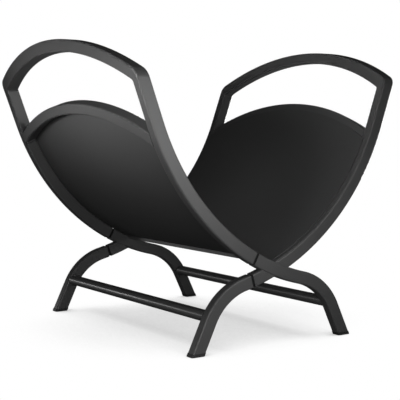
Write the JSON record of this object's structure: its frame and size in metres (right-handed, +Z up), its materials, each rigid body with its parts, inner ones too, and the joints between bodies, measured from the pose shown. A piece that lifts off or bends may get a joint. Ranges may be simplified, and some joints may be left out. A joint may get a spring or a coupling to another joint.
{
  "type": "log holder",
  "caption": "Free-standing black steel log holder: crossed side frames of rectangular tube with arched carrying handles and curved sheet panels that cradle firewood.",
  "frame": {"origin": "on the floor under the middle of the holder", "axes": "+Z up; X across the logs, left is -X; Y along the logs, front is -Y"},
  "size_m": [0.5128, 0.4412, 0.4496],
  "materials": {
    "tube_coat": "satin black powder coat",
    "panel_coat": "satin black powder coat",
    "foot_plastic": "matte black",
    "screw_black": "blackened steel"
  },
  "bodies": {
    "root": {"back_cross_stub": "tube_coat", "front_cross_stub": "tube_coat", "joint_screws": "screw_black", "left_back_arm": "tube_coat", "left_back_arm_spigot": "tube_coat", "left_back_foot": "foot_plastic", "left_back_leg": "tube_coat", "left_back_leg_spigot": "tube_coat", "left_front_arm": "tube_coat", "left_front_arm_spigot": "tube_coat", "left_front_foot": "foot_plastic", "left_front_leg": "tube_coat", "left_front_leg_spigot": "tube_coat", "left_handle": "tube_coat", "left_panel": "panel_coat", "left_rail": "tube_coat", "left_stretcher": "tube_coat", "right_back_arm": "tube_coat", "right_back_foot": "foot_plastic", "right_back_leg": "tube_coat", "right_front_arm": "tube_coat", "right_front_foot": "foot_plastic", "right_front_leg": "tube_coat", "right_handle": "tube_coat", "right_panel": "panel_coat", "right_rail": "tube_coat", "right_stretcher": "tube_coat"}
  },
  "joints": []
}
